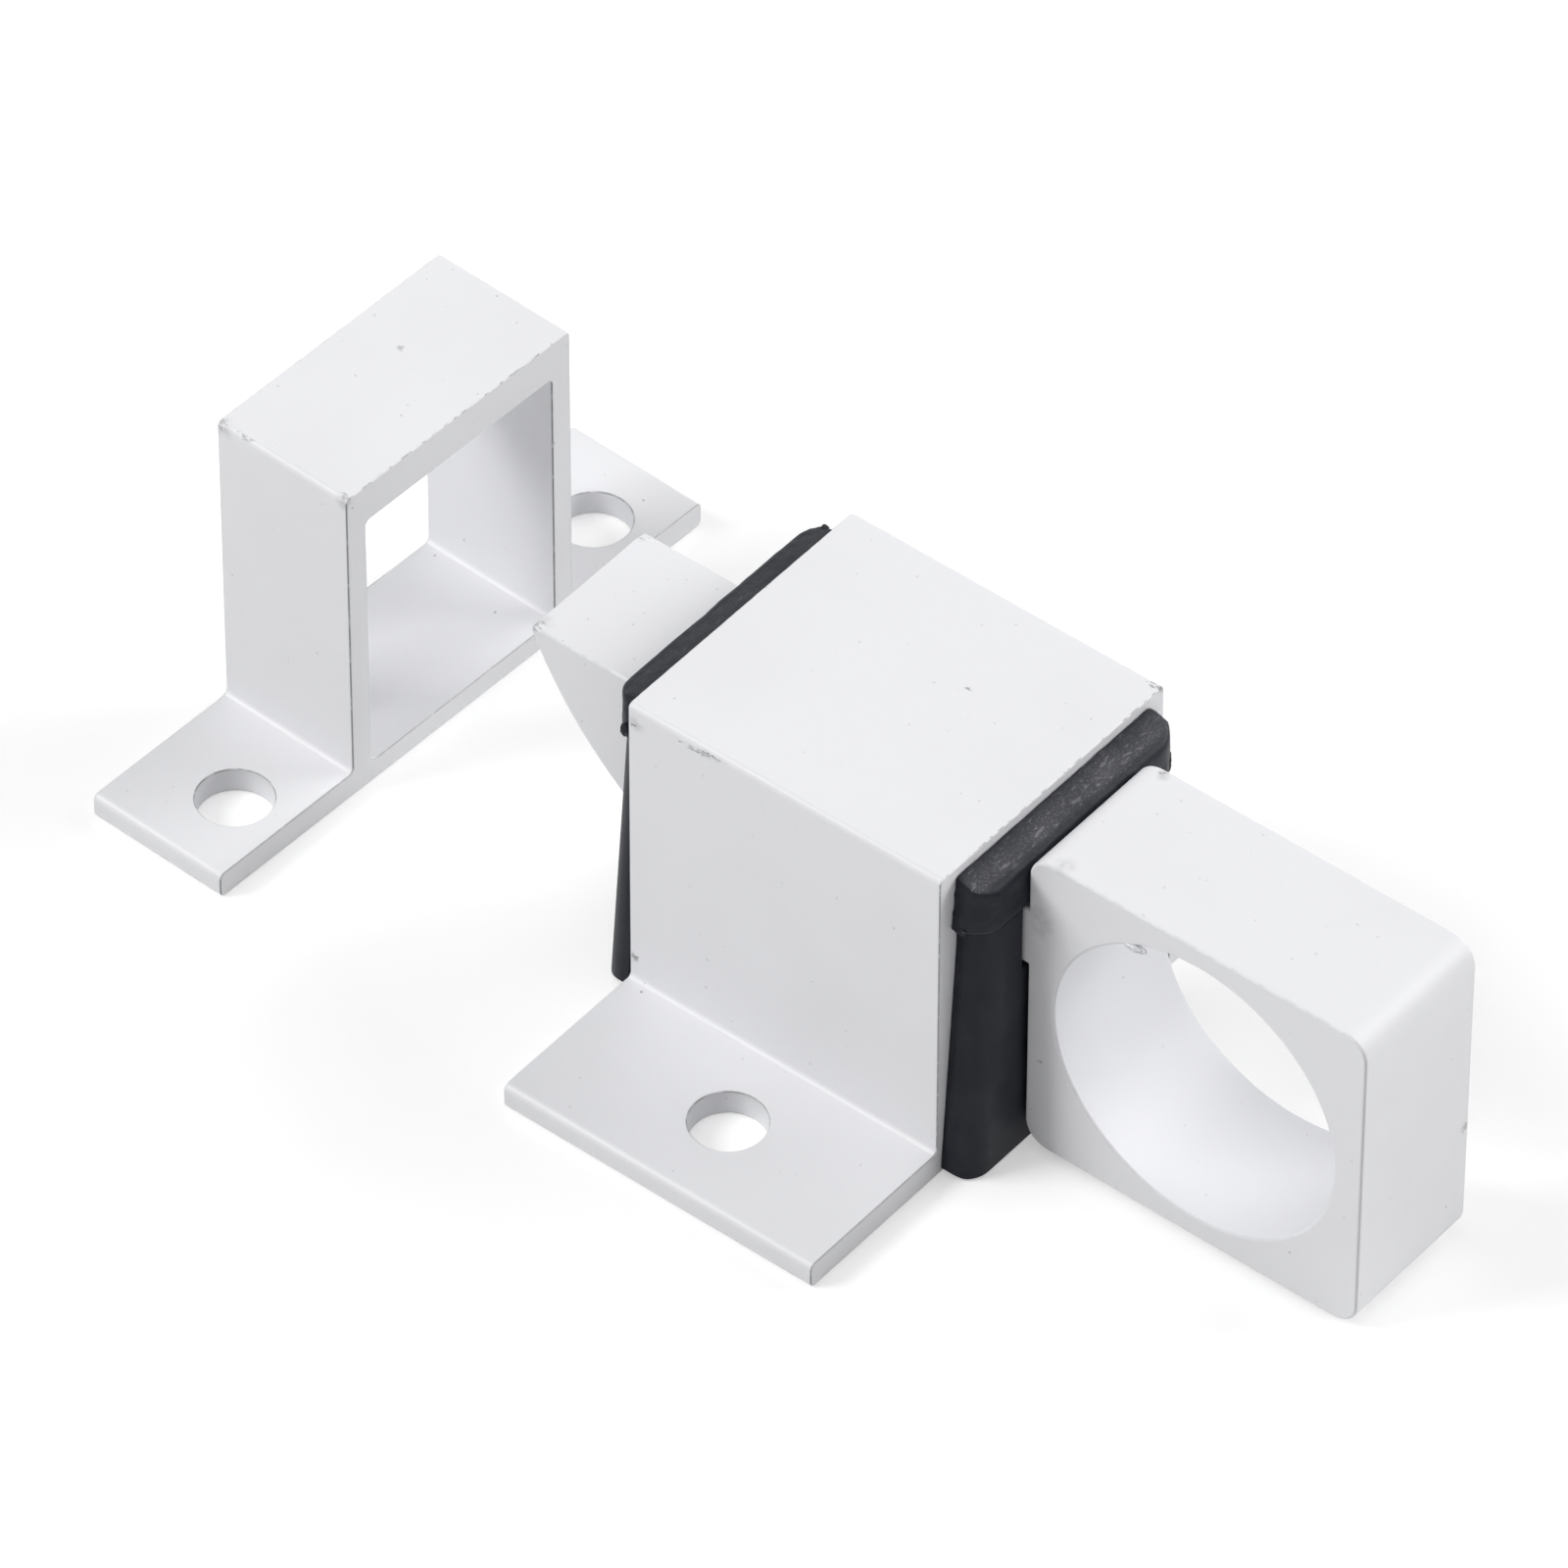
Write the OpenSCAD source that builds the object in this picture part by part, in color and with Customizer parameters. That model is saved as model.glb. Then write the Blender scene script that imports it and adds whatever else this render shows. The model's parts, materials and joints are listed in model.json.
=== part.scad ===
// Spring door latch with its keeper.
// The bolt slides along X. Its ring is on the +X side and its nose points to -X, where the keeper lies.
// The origin is on the mounting face, midway between the housing's two screw holes.
// Z points away from the door.

/* [Housing] */
// Length of the housing along the bolt
housing_l = 25; // [22:0.5:40]
// Outside width of the housing's tunnel
tunnel_w = 22.5; // [21.5:0.5:30]
// Height of the housing and the keeper above the mounting face
section_h = 26.2; // [26:0.2:34]
// Width of each screw wing beside the tunnel
wing_w = 12.6; // [10:0.2:20]
// Thickness of the screw wings
wing_t = 2; // [1.6:0.1:4]
// Thickness of the tunnel's side walls
side_wall = 1.8; // [1.2:0.1:2.2]
// Thickness of the tunnel's top wall
top_wall = 3.1; // [2:0.1:3.2]
// Thickness of the tunnel's floor
floor_t = 1.7; // [1.2:0.1:2.4]
// Rounding of the tunnel's top outer edges
crown_r = 0.45; // [0.2:0.05:1.5]
// Rounding of the wings' outer edges, above and below
wing_edge_r = 0.5; // [0.2:0.1:0.7]
// Fillet between the tunnel's walls and the wings, and in the corners of the tunnel
root_r = 0.4; // [0.2:0.1:1]

/* [Screw holes] */
// Diameter of the screw holes
screw_hole_d = 5.2; // [3:0.1:6.5]
// Distance across between the screw holes, centre to centre
screw_span = 34.6; // [34:0.2:42]
// Distance of the housing's screw holes from its nose end
housing_screw_x = 13; // [8:0.5:16]
// Distance of the keeper's screw holes from the keeper's far end
keeper_screw_x = 7; // [4:0.5:8]

/* [Keeper] */
// Length of the keeper along the bolt
keeper_l = 11.2; // [10:0.2:20]
// Outside width of the keeper's tunnel
keeper_tunnel_w = 21.2; // [20:0.2:28]
// Distance between the housing's nose end and the keeper
keeper_gap = 25; // [16:0.5:40]
// Sideways shift of the keeper's near end
keeper_shift = 2.2; // [-2:0.2:4]
// Turn of the keeper about the upright axis, in degrees
keeper_turn = -2.4; // [-5:0.2:5]

/* [Bolt] */
// Width of the bolt across the slide
bolt_w = 11.2; // [10:0.2:12]
// Room between the nose's flat top and the tunnel's roof, where the caps' tongues lie
bolt_headroom = 2.1; // [1.9:0.1:4]
// Distance that the nose stands out of the housing
nose_out = 12.6; // [8:0.2:15]
// Upright face left on the nose's tip
tip_land = 0.5; // [0.3:0.1:1.5]
// Radius of the nose's rounded underside
nose_r = 27; // [24:0.5:34]
// Height of the nose's foot at the spring shoulder
foot_z = 5; // [4:0.1:6]
// Place of the spring shoulder, measured from the housing's nose end
shoulder_x = 6.5; // [6:0.1:8]
// Height of the neck between the nose and the ring
neck_h = 4.8; // [3:0.1:5.2]
// Fillet between the neck and the spring shoulder
neck_fillet_r = 0.8; // [0.2:0.1:1]
// Length of the square pull ring along the slide
ring_l = 26.3; // [25:0.1:40]
// Step from the housing's top down to the top of the pull ring
ring_top_step = 0.3; // [0:0.1:1]
// Height of the ring's lower side above the mounting face
ring_z = 0.6; // [0.3:0.1:1.5]
// Rounding of the ring's corners
ring_corner_r = 1.8; // [0.5:0.1:4]
// Diameter of the finger hole
finger_hole_d = 22; // [16:0.5:23]

/* [End bushes] */
// Thickness of the bushes' end plates
plate_t = 2.4; // [2:0.1:2.4]
// Width of the end plates at their top
plate_w = 19; // [18.6:0.1:19.4]
// Width of the end plates at their foot
plate_foot_w = 21.8; // [19.6:0.1:22]
// Rounding of the end plates' upright outer edges
plate_r = 1.9; // [0.5:0.1:2]
// Rounding of the end plates' lower corners, seen from the front
plate_foot_r = 0.6; // [0.2:0.1:2]
// Height of the end plates' lower edge above the mounting face
plate_z = 0.1; // [0.1:0.1:1]
// Thickness of the caps over the bolt
cap_t = 2.5; // [2.5:0.1:4]
// Width of the caps at their lower edge
cap_w = 20.4; // [19.6:0.1:21]
// Height of the caps, against the housing
cap_h = 4.3; // [3.4:0.1:4.6]
// Slope of the caps' top down to its outer edge, in degrees
cap_slope = 20; // [0:1:30]
// Rounding of the caps' ends, seen from above
cap_end_r = 2.3; // [0.5:0.1:2.4]
// Rounding of the caps' upper corners, seen from the front
cap_corner_r = 1.1; // [0.3:0.1:1.5]
// Rounding of the caps' upper outer edge
cap_edge_r = 0.7; // [0.2:0.1:1]
// Draw-in of the caps' ends from their lower edge to the top
cap_taper = 0.45; // [0:0.05:0.8]
// Depth of the nose-end bush and of both caps inside the tunnel
plug_l = 3; // [2:0.1:4]
// Angle by which the nose-end bush leans out at its foot, in degrees
front_lean = 1; // [0:0.2:3.6]

/* [Spring] */
// Wire diameter of the spring
wire_d = 0.6; // [0.4:0.05:0.8]
// Outside diameter of the spring
spring_d = 7.6; // [6.4:0.1:8]
// Number of turns, with one closed turn at each end
spring_turns = 9; // [6:1:10]
// Gap between the spring and the neck above it
spring_gap = 1; // [0.6:0.1:1.4]
// Depth of the spring's pocket in the nose
pocket_l = 5; // [2:0.1:5]
// Length of the boss that centres the spring in the ring-end bush
boss_l = 2.6; // [1:0.1:4]

/* [Clearances] */
// Running clearance between the bolt and the bushes
running_clear = 0.3; // [0.2:0.05:0.4]
// Clearance left at the bolt's two stops
stop_clear = 0.05; // [0.02:0.01:0.2]
// Clearance of the bushes' plugs in the tunnel, on each side
plug_clear = 0.15; // [0.1:0.05:0.4]
// Clearance of the plugs above the tunnel's floor and below its roof, which leaves room for the lean
plug_lean_clear = 0.3; // [0.25:0.05:0.6]
// Clearance round the spring in its pocket
pocket_clear = 0.4; // [0.2:0.05:0.5]
// Clearance between the spring's ends and their seats
spring_end_clear = 0.03; // [0.02:0.01:0.1]

/* [Hidden] */
$fn = 64;
powder_white = "#f1f1f3";
moulding_black = "#26272c";
spring_steel = "#9aa0a6";
cut = 1;
tunnel_in_w = tunnel_w - 2 * side_wall;
tunnel_roof_z = section_h - top_wall;
bolt_top_z = tunnel_roof_z - bolt_headroom;
parting_z = bolt_top_z + running_clear;
plate_h = parting_z - plate_z;
plate_slant = atan((plate_foot_w - plate_w) / 2 / plate_h);
cap_top_z = parting_z + cap_h;
plug_w = tunnel_in_w - 2 * plug_clear;
plug_z = floor_t + plug_lean_clear;
slot_w = bolt_w + 2 * running_clear;
nose_slot_z = foot_z - running_clear;
neck_z = bolt_top_z - neck_h;
neck_slot_z = neck_z - running_clear;
ring_h = section_h - ring_top_step - ring_z;
spring_z = neck_z - spring_gap - spring_d / 2;
ring_x = housing_l + cap_t + stop_clear;
// The bolt slides until its tip is level with the housing's end. The ring-end bush leaves room there for the
// fillet at the neck's root.
travel = nose_out;
ring_plug_l = housing_l - shoulder_x - travel - neck_fillet_r - running_clear;
pocket_x = shoulder_x - pocket_l;
pocket_d = spring_d + 2 * pocket_clear;
boss_d = spring_d - 2 * wire_d - 2 * pocket_clear;
// The nose's underside is an arc of nose_r through the tip's lower edge and the foot of the shoulder.
tip = [-nose_out, bolt_top_z - tip_land];
foot = [shoulder_x, foot_z];
chord = norm(foot - tip);
chord_dir = (foot - tip) / chord;
arc_rise = sqrt(pow(nose_r, 2) - pow(chord / 2, 2));
arc_centre = (tip + foot) / 2 + arc_rise * [-chord_dir[1], chord_dir[0]];
// The spring's wire is swept as rings of points along a helix with a closed turn at each end.
wire_sides = 8;
rings_per_turn = 20;
spring_x = pocket_x + spring_end_clear + wire_d / 2;
spring_end_x = housing_l - spring_end_clear - wire_d / 2;
coil_r = (spring_d - wire_d) / 2;
closed_pitch = wire_d * 1.1;
open_pitch = (spring_end_x - spring_x - 2 * closed_pitch) / (spring_turns - 2);
ring_count = spring_turns * rings_per_turn + 1;

// Distance along the spring's axis after t turns
function spring_advance(t) =
    closed_pitch * min(t, 1)
    + open_pitch * max(0, min(t, spring_turns - 1) - 1)
    + closed_pitch * max(0, t - (spring_turns - 1));

// One point of the wire's surface, at turn t and angle a round the wire
function wire_point(t, a) =
    let (r = coil_r + wire_d / 2 * cos(a))
    [spring_x + spring_advance(t) + wire_d / 2 * sin(a), r * cos(360 * t), spring_z + r * sin(360 * t)];

// Quarter-round filling of an inside corner, drawn in the first quadrant
module corner_fill(r) {
    difference() {
        square(r);
        translate([r, r])
            circle(r);
    }
}

// Rectangle that stands on y = 0, centred in x, with its two upper corners rounded
module crowned_rect(w, h, r) {
    intersection() {
        translate([-w / 2, 0])
            square([w, h]);
        union() {
            translate([-w / 2, 0])
                square([w, h - r]);
            translate([r - w / 2, 0])
                square([w - 2 * r, h]);
            for (side = [-1, 1])
                translate([side * (w / 2 - r), h - r])
                    circle(r);
        }
    }
}

// Rectangle centred on the origin with all four corners rounded
module rounded_rect(w, h, r) {
    square([w - 2 * r, h], center = true);
    square([w, h - 2 * r], center = true);
    for (x = [-1, 1], y = [-1, 1])
        translate([x * (w / 2 - r), y * (h / 2 - r)])
            circle(r);
}

// Hat-shaped profile that the housing and the keeper are cut from
module hat_profile(outer_w) {
    inner_w = outer_w - 2 * side_wall;
    inner_h = tunnel_roof_z - floor_t;
    difference() {
        union() {
            translate([0, wing_t / 2])
                rounded_rect(outer_w + 2 * wing_w, wing_t, wing_edge_r);
            crowned_rect(outer_w, section_h, crown_r);
            for (side = [0, 1])
                mirror([side, 0])
                    translate([outer_w / 2, wing_t])
                        corner_fill(root_r);
        }
        translate([0, floor_t + inner_h / 2])
            rounded_rect(inner_w, inner_h, root_r);
    }
}

// Length of the hat profile along X with a screw hole in each wing
module hat_section(length, outer_w, screw_x) {
    difference() {
        rotate([90, 0, 90])
            linear_extrude(length)
                hat_profile(outer_w);
        for (side = [-1, 1])
            translate([screw_x, side * screw_span / 2, -cut])
                cylinder(d = screw_hole_d, h = wing_t + 2 * cut);
    }
}

// Places what is drawn from the housing's nose end, so that the screw holes lie on x = 0
module from_nose_end() {
    translate([-housing_screw_x, 0, 0])
        children();
}

module housing() {
    color(powder_white)
        from_nose_end()
            hat_section(housing_l, tunnel_w, housing_screw_x);
}

module keeper() {
    color(powder_white)
        from_nose_end()
            translate([-keeper_gap, keeper_shift, 0])
                rotate([0, 0, keeper_turn])
                    translate([-keeper_l, 0, 0])
                        hat_section(keeper_l, keeper_tunnel_w, keeper_screw_x);
}

// Side view of the bolt: nose with a rounded underside, neck and square pull ring
module bolt_profile() {
    intersection() {
        translate([-nose_out, 0])
            square([nose_out + shoulder_x, bolt_top_z]);
        translate(arc_centre)
            circle(nose_r, $fn = 180);
    }
    translate([shoulder_x - cut, neck_z])
        square([ring_x - shoulder_x + cut + ring_corner_r, neck_h]);
    translate([shoulder_x, neck_z])
        mirror([0, 1])
            corner_fill(neck_fillet_r);
    difference() {
        translate([ring_x + ring_l / 2, ring_z + ring_h / 2])
            rounded_rect(ring_l, ring_h, ring_corner_r);
        translate([ring_x + ring_l / 2, ring_z + ring_h / 2])
            circle(d = finger_hole_d);
    }
}

module bolt() {
    color(powder_white)
        from_nose_end()
            difference() {
                translate([0, bolt_w / 2, 0])
                    rotate([90, 0, 0])
                        linear_extrude(bolt_w)
                            bolt_profile();
                translate([pocket_x, 0, spring_z])
                    rotate([0, 90, 0])
                        cylinder(d = pocket_d, h = pocket_l + cut);
            }
}

// Seen from above, a plate that stands on y = 0 with its outer corners rounded, extruded up from z0 to z1
module plan_block(w, t, r, z0, z1) {
    translate([0, 0, z0])
        linear_extrude(z1 - z0)
            rotate(-90)
                crowned_rect(w, t, r);
}

// Wide block with the end plate's slanted side and its rounded upright edge at -Y
module plate_side() {
    translate([0, -plate_foot_w / 2, plate_z])
        rotate([-plate_slant, 0, 0])
            translate([0, plate_foot_w, 0])
                plan_block(2 * plate_foot_w, plate_t, plate_r, -plate_h, 2 * plate_h);
}

// End plate, wider at its foot than at its top
module end_plate() {
    intersection() {
        plate_side();
        mirror([0, 1, 0])
            plate_side();
        rotate([90, 0, 90])
            linear_extrude(plate_t)
                translate([0, parting_z])
                    mirror([0, 1])
                        crowned_rect(plate_foot_w, plate_h, plate_foot_r);
    }
}

// Lower half of an end bush: an end plate and a plug in the tunnel, with a slot for the bolt.
// It is drawn for the ring end, with its seat on the housing at x = 0.
module bush_half(slot_z, depth) {
    difference() {
        union() {
            end_plate();
            translate([-depth, -plug_w / 2, plug_z])
                cube([depth + plate_t / 2, plug_w, parting_z - plug_z]);
        }
        translate([-depth - cut, -slot_w / 2, slot_z])
            cube([depth + plate_t + 2 * cut, slot_w, parting_z - slot_z + cut]);
    }
}

// Cap that closes an end bush over the bolt, with a tongue in the tunnel's roof
module bush_cap() {
    intersection() {
        plan_block(cap_w, cap_t, cap_end_r, parting_z, cap_top_z);
        rotate([90, 0, 90])
            linear_extrude(cap_t)
                cap_front_profile();
        translate([0, cap_w / 2, 0])
            rotate([90, 0, 0])
                linear_extrude(cap_w)
                    cap_side_profile();
    }
    translate([-plug_l, -plug_w / 2, parting_z])
        cube([plug_l + cap_t / 2, plug_w, tunnel_roof_z - plug_lean_clear - parting_z]);
}

// Front view of a cap, with its ends drawn in and its upper corners rounded
module cap_front_profile() {
    intersection() {
        translate([0, parting_z])
            crowned_rect(cap_w, cap_h, cap_corner_r);
        polygon([
            [-cap_w / 2, parting_z],
            [cap_w / 2, parting_z],
            [cap_w / 2 - cap_taper, cap_top_z],
            [cap_taper - cap_w / 2, cap_top_z]
        ]);
    }
}

// Side view of a cap, with its top sloping down to a rounded outer edge
module cap_side_profile() {
    edge_x = cap_t - cap_edge_r;
    edge_z = cap_top_z - edge_x * tan(cap_slope) - cap_edge_r / cos(cap_slope);
    polygon([
        [0, parting_z],
        [cap_t, parting_z],
        [cap_t, edge_z],
        [edge_x + cap_edge_r * sin(cap_slope), edge_z + cap_edge_r * cos(cap_slope)],
        [0, cap_top_z]
    ]);
    translate([edge_x, edge_z])
        circle(cap_edge_r);
}

// Turns a bush piece round to the nose end, where it leans out about its upper inner edge
module at_nose_end() {
    from_nose_end()
        translate([0, 0, cap_top_z])
            rotate([0, front_lean, 0])
                translate([0, 0, -cap_top_z])
                    rotate([0, 0, 180])
                        children();
}

// Moves a bush piece to the ring end, where it sits flat
module at_ring_end() {
    from_nose_end()
        translate([housing_l, 0, 0])
            children();
}

module nose_bush() {
    color(moulding_black)
        at_nose_end()
            bush_half(nose_slot_z, plug_l);
}

module nose_bush_cap() {
    color(moulding_black)
        at_nose_end()
            bush_cap();
}

// The ring-end bush holds the spring: a round room in its plug with a boss in the middle
module ring_bush() {
    color(moulding_black)
        at_ring_end() {
            difference() {
                bush_half(neck_slot_z, ring_plug_l);
                translate([-ring_plug_l - cut, 0, spring_z])
                    rotate([0, 90, 0])
                        cylinder(d = pocket_d, h = ring_plug_l + cut);
            }
            translate([-boss_l, 0, spring_z])
                rotate([0, 90, 0])
                    cylinder(d = boss_d, h = boss_l + plate_t / 2);
        }
}

module ring_bush_cap() {
    color(moulding_black)
        at_ring_end()
            bush_cap();
}

module spring() {
    points = [
        for (i = [0 : ring_count - 1], k = [0 : wire_sides - 1])
            wire_point(i / rings_per_turn, 360 * k / wire_sides)
    ];
    walls = [
        for (i = [0 : ring_count - 2], k = [0 : wire_sides - 1])
            let (next = (k + 1) % wire_sides)
            [
                i * wire_sides + k,
                i * wire_sides + next,
                (i + 1) * wire_sides + next,
                (i + 1) * wire_sides + k
            ]
    ];
    first_end = [for (k = [wire_sides - 1 : -1 : 0]) k];
    last_end = [for (k = [0 : wire_sides - 1]) (ring_count - 1) * wire_sides + k];
    color(spring_steel)
        from_nose_end()
            polyhedron(points, concat([first_end], walls, [last_end]), convexity = 10);
}

housing();
keeper();
bolt();
nose_bush();
nose_bush_cap();
ring_bush();
ring_bush_cap();
spring();
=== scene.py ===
import json
import math

import bpy
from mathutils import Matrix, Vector


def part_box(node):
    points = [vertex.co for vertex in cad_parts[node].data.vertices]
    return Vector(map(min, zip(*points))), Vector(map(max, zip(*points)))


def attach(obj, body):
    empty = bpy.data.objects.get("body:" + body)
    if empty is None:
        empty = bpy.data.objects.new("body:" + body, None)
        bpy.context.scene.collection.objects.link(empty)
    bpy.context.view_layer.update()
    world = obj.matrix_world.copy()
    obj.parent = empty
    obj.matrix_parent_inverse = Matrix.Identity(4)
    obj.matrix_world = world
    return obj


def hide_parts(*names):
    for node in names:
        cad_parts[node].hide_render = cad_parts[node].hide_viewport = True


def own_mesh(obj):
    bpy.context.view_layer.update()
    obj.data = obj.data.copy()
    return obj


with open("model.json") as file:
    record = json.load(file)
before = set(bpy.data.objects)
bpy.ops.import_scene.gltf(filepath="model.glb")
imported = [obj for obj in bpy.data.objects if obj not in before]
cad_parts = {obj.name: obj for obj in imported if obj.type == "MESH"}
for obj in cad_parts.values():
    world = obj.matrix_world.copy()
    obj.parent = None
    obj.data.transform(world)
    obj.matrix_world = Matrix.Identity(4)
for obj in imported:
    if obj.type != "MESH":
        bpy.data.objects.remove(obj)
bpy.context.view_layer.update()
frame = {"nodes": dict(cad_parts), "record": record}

MM = 0.001
RECORD = frame["record"]
BODIES = RECORD["behaviour"]["bodies"]
MOUNTS = {mount["name"]: Vector(mount["pos_m"]) for mount in RECORD["mounts"]}
SCREWS = next(mount["dims"] for mount in RECORD["mounts"] if mount["name"] == "housing_screws")
OPENINGS = {opening["name"]: opening["box_m"] for opening in RECORD["physics"]["openings"]}

# The camera: where it looks, in mm, its side, height and roll in degrees, and its distance, its lens and the
# width of its film, in mm
AIM = Vector((-12.77, 4.03, 7.5))
AZIMUTH = math.radians(38.93)
ELEVATION = math.radians(44.78)
ROLL = math.radians(0.13)
DISTANCE = 954.5
LENS = 342.8
SENSOR = 36

# The light: an even sky, and soft lamps with the place and size of each in metres and its power in watts
SKY = 0.075
LAMPS = [
    ("key_lamp_left_front", (-0.65, -0.66, 0.80), 0.5, 8.4),
    ("rim_lamp_right_back", (0.56, 0.84, 0.58), 0.9, 11.1),
    ("top_lamp", (-0.05, -0.30, 1.15), 0.9, 3.0),
    ("fill_lamp_right_front", (0.75, -0.70, 0.55), 0.9, 0.8),
]

# The floor: its size and its gap under the object, in metres, and how much it glows where it is seen
FLOOR_SIZE = 8
FLOOR_GAP = 0.02 * MM
FLOOR_GLOW = 0.40

# Rounding of the coated pieces' edges and of the bushes' edges, in mm, and its number of facets
COATED_EDGES = {"housing": 0.14, "keeper": 0.14, "bolt": 0.22}
MOULDED_EDGE = 0.10
EDGE_STEPS = 3

# The angle from which an edge is sharp, the one under which faces are joined, and how near two corners or two
# ends of the wire are one, in metres
SHARP = math.radians(38)
FLAT = math.radians(0.4)
SAME_POINT = 2e-6
SAME_END = 1e-5

# The caps' softened skin: the size of its cells in mm, how far and how often it is smoothed, and the depth
# and length of its waves in mm
SKIN_CELL = 0.15
SMOOTHING_SHARE = 0.5
SMOOTHING_ROUNDS = 9
WAVE_DEPTH = 0.10
WAVE_LENGTH = 1.3

# The spring's wire in mm, its open turns, the pitch of its closed turns in mm, and how finely it is drawn
WIRE = 0.6
OPEN_TURNS = 7
CLOSED_PITCH = 0.66
TURN_STEPS = 40
WIRE_SIDES = 14

# Colours, as light that they reflect
COATING = (0.875, 0.878, 0.902, 1)
COATING_DULL = (0.848, 0.850, 0.870, 1)
# The next colour is painted shade: the coat on the finger hole's wall, darkened for the shade inside the hole
COATING_PAINTED_SHADE = (0.812, 0.815, 0.840, 1)
BARE_EDGE = (0.30, 0.305, 0.31, 1)
BARE_CHIP = (0.20, 0.202, 0.208, 1)
SMUDGE_AND_SHADE = (0.50, 0.50, 0.51, 1)
DIRT = (0.20, 0.20, 0.20, 1)
MOULDING = (0.0055, 0.0068, 0.0125, 1)
MOULDING_WORN = (0.012, 0.0135, 0.020, 1)
MOULDING_SCUFF = (0.17, 0.17, 0.18, 1)
STEEL = (0.52, 0.53, 0.55, 1)
STEEL_DARK = (0.36, 0.37, 0.39, 1)
FLOOR = (0.73, 0.73, 0.73, 1)
WHITE = (1, 1, 1, 1)

# Grains: how many waves a noise has in a metre, and its levels of detail
COAT_PEEL = (700.0, 1.0)
COAT_GRAIN = (4500.0, 2.0)
WEAR_GRAIN = (1500.0, 4.0)
CHIP_GRAIN = (7400.0, 3.0)
MOULDING_GRAIN = (2400.0, 3.0)
WIRE_STREAKS = (2600.0, 4.0)

# Clouds: the same, and the part of the noise's range over which the cloud sets in
COAT_CLOUDS = (55.0, 3.0, 0.35, 0.65)
SMUDGE_AND_SHADE_CLOUDS = (1100.0, 3.0, 0.32, 0.66)
SCRATCHES = (4600.0, 3.0, 0.56, 0.70)
SPECKLES = (6500.0, 2.0, 0.48, 0.68)
RUBBED_CLOUDS = (260.0, 3.0, 0.30, 0.65)
MOULDING_CLOUDS = (330.0, 4.0, 0.38, 0.68)

# How a pattern is stretched and turned: a chip's dashes along X, and the scratches along Y
DASHES = (0.4, 1.0, 1.2)
SCRATCH_LENGTH = (1.0, 0.3, 1.0)
SCRATCH_TURN = (0.0, 0.0, 0.25)

# The depth of each finish's skin in mm, the two ends of its roughness, and the moulding's shine
COAT_DEPTH = 0.004
COAT_ROUGHNESS = (0.42, 0.62)
MOULDING_DEPTH = 0.010
MOULDING_ROUGHNESS = (0.45, 0.60)
MOULDING_SHINE = 0.18
WIRE_DEPTH = 0.002
WIRE_ROUGHNESS = (0.26, 0.42)

# How strongly the thin line shows round the sawn ends, and how far bare metal lies below the coat, in depths
# of the coat
EDGE_LINES = {"housing": 0.85, "keeper": 0.9, "bolt": 0.15}
WORN_STEP = 3.0

# The distance from a sawn end and from a screw hole's wall over which the thin line fades out, and the height
# over which an edge stops being low, in mm
EDGE_REACH = (0.10, 0.25)
RIM_REACH = (0.15, 0.35)
LOW_EDGES = (4.0, 6.0)

# An eased edge, by how far it is turned towards the sawn end or the hole's opening, from 0 to 1: where its
# mask rises and where it falls again
SAWN_RIM_TURN = ((0.2, 0.5), (0.85, 0.98))
HOLE_RIM_TURN = ((0.05, 0.35), (0.80, 0.98))

# The range of a normal's Z over which a surface stops being upright, up or down, and starts facing up
UPRIGHT = (0.10, 0.45)
FACING_UP = (0.55, 0.85)

# The scuff on a cap's top: where it grows and where it ends, in mm from the housing's end, its strength
# inside and outside of that, and how much of it each cap has
SCUFF_GROWS = (0.1, 1.4)
SCUFF_ENDS = (1.6, 2.15)
SCUFF_INSIDE = 0.42
SCUFF_OUTSIDE = 0.12
CAP_SCUFFS = {"nose_bush_cap": 0.3, "ring_bush_cap": 1.0}

# Specks in the coating: the cells in a metre, the radius as a share of a cell, the share of the cells that
# hold a speck, and how strongly the specks show
SPECKS = [
    (800.0, 0.10, 0.9, 0.35),
    (430.0, 0.065, 1.0, 0.75),
]

# The kinds of input that a shader group takes, and what the groups for one spot take
VECTOR = "NodeSocketVector"
NUMBER = "NodeSocketFloat"
SPOT_INPUTS = {"Vector": VECTOR, "Middle": VECTOR, "Reach": VECTOR}

# A reach so long that its axis is left out of a distance
LEFT_OUT = 1e6

# The screw holes' middles and radius in metres, and how strongly the thin line shows on their rims
SCREW_OFFSET = Vector((0, SCREWS["spacing_y_mm"] * MM / 2, 0))
HOLES = {
    "housing": [MOUNTS["housing_screws"] - SCREW_OFFSET, MOUNTS["housing_screws"] + SCREW_OFFSET],
    "keeper": [MOUNTS["keeper_screw_front"], MOUNTS["keeper_screw_rear"]],
    "bolt": [],
}
HOLE_RADIUS = SCREWS["hole_r_mm"] * MM
HOLE_LINES = 0.8

# The finger hole's middle, in metres, and the radii between which the painted shade on its wall ends, in mm
FINGER_MIDDLE = (Vector(OPENINGS["finger_hole"][0]) + Vector(OPENINGS["finger_hole"][1])) / 2
FINGER_REACH = (11.05, 11.20)

# How strongly the chips show
CHIP_DEPTHS = {"housing": 0.75, "keeper": 0.42, "bolt": 0.50}

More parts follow.
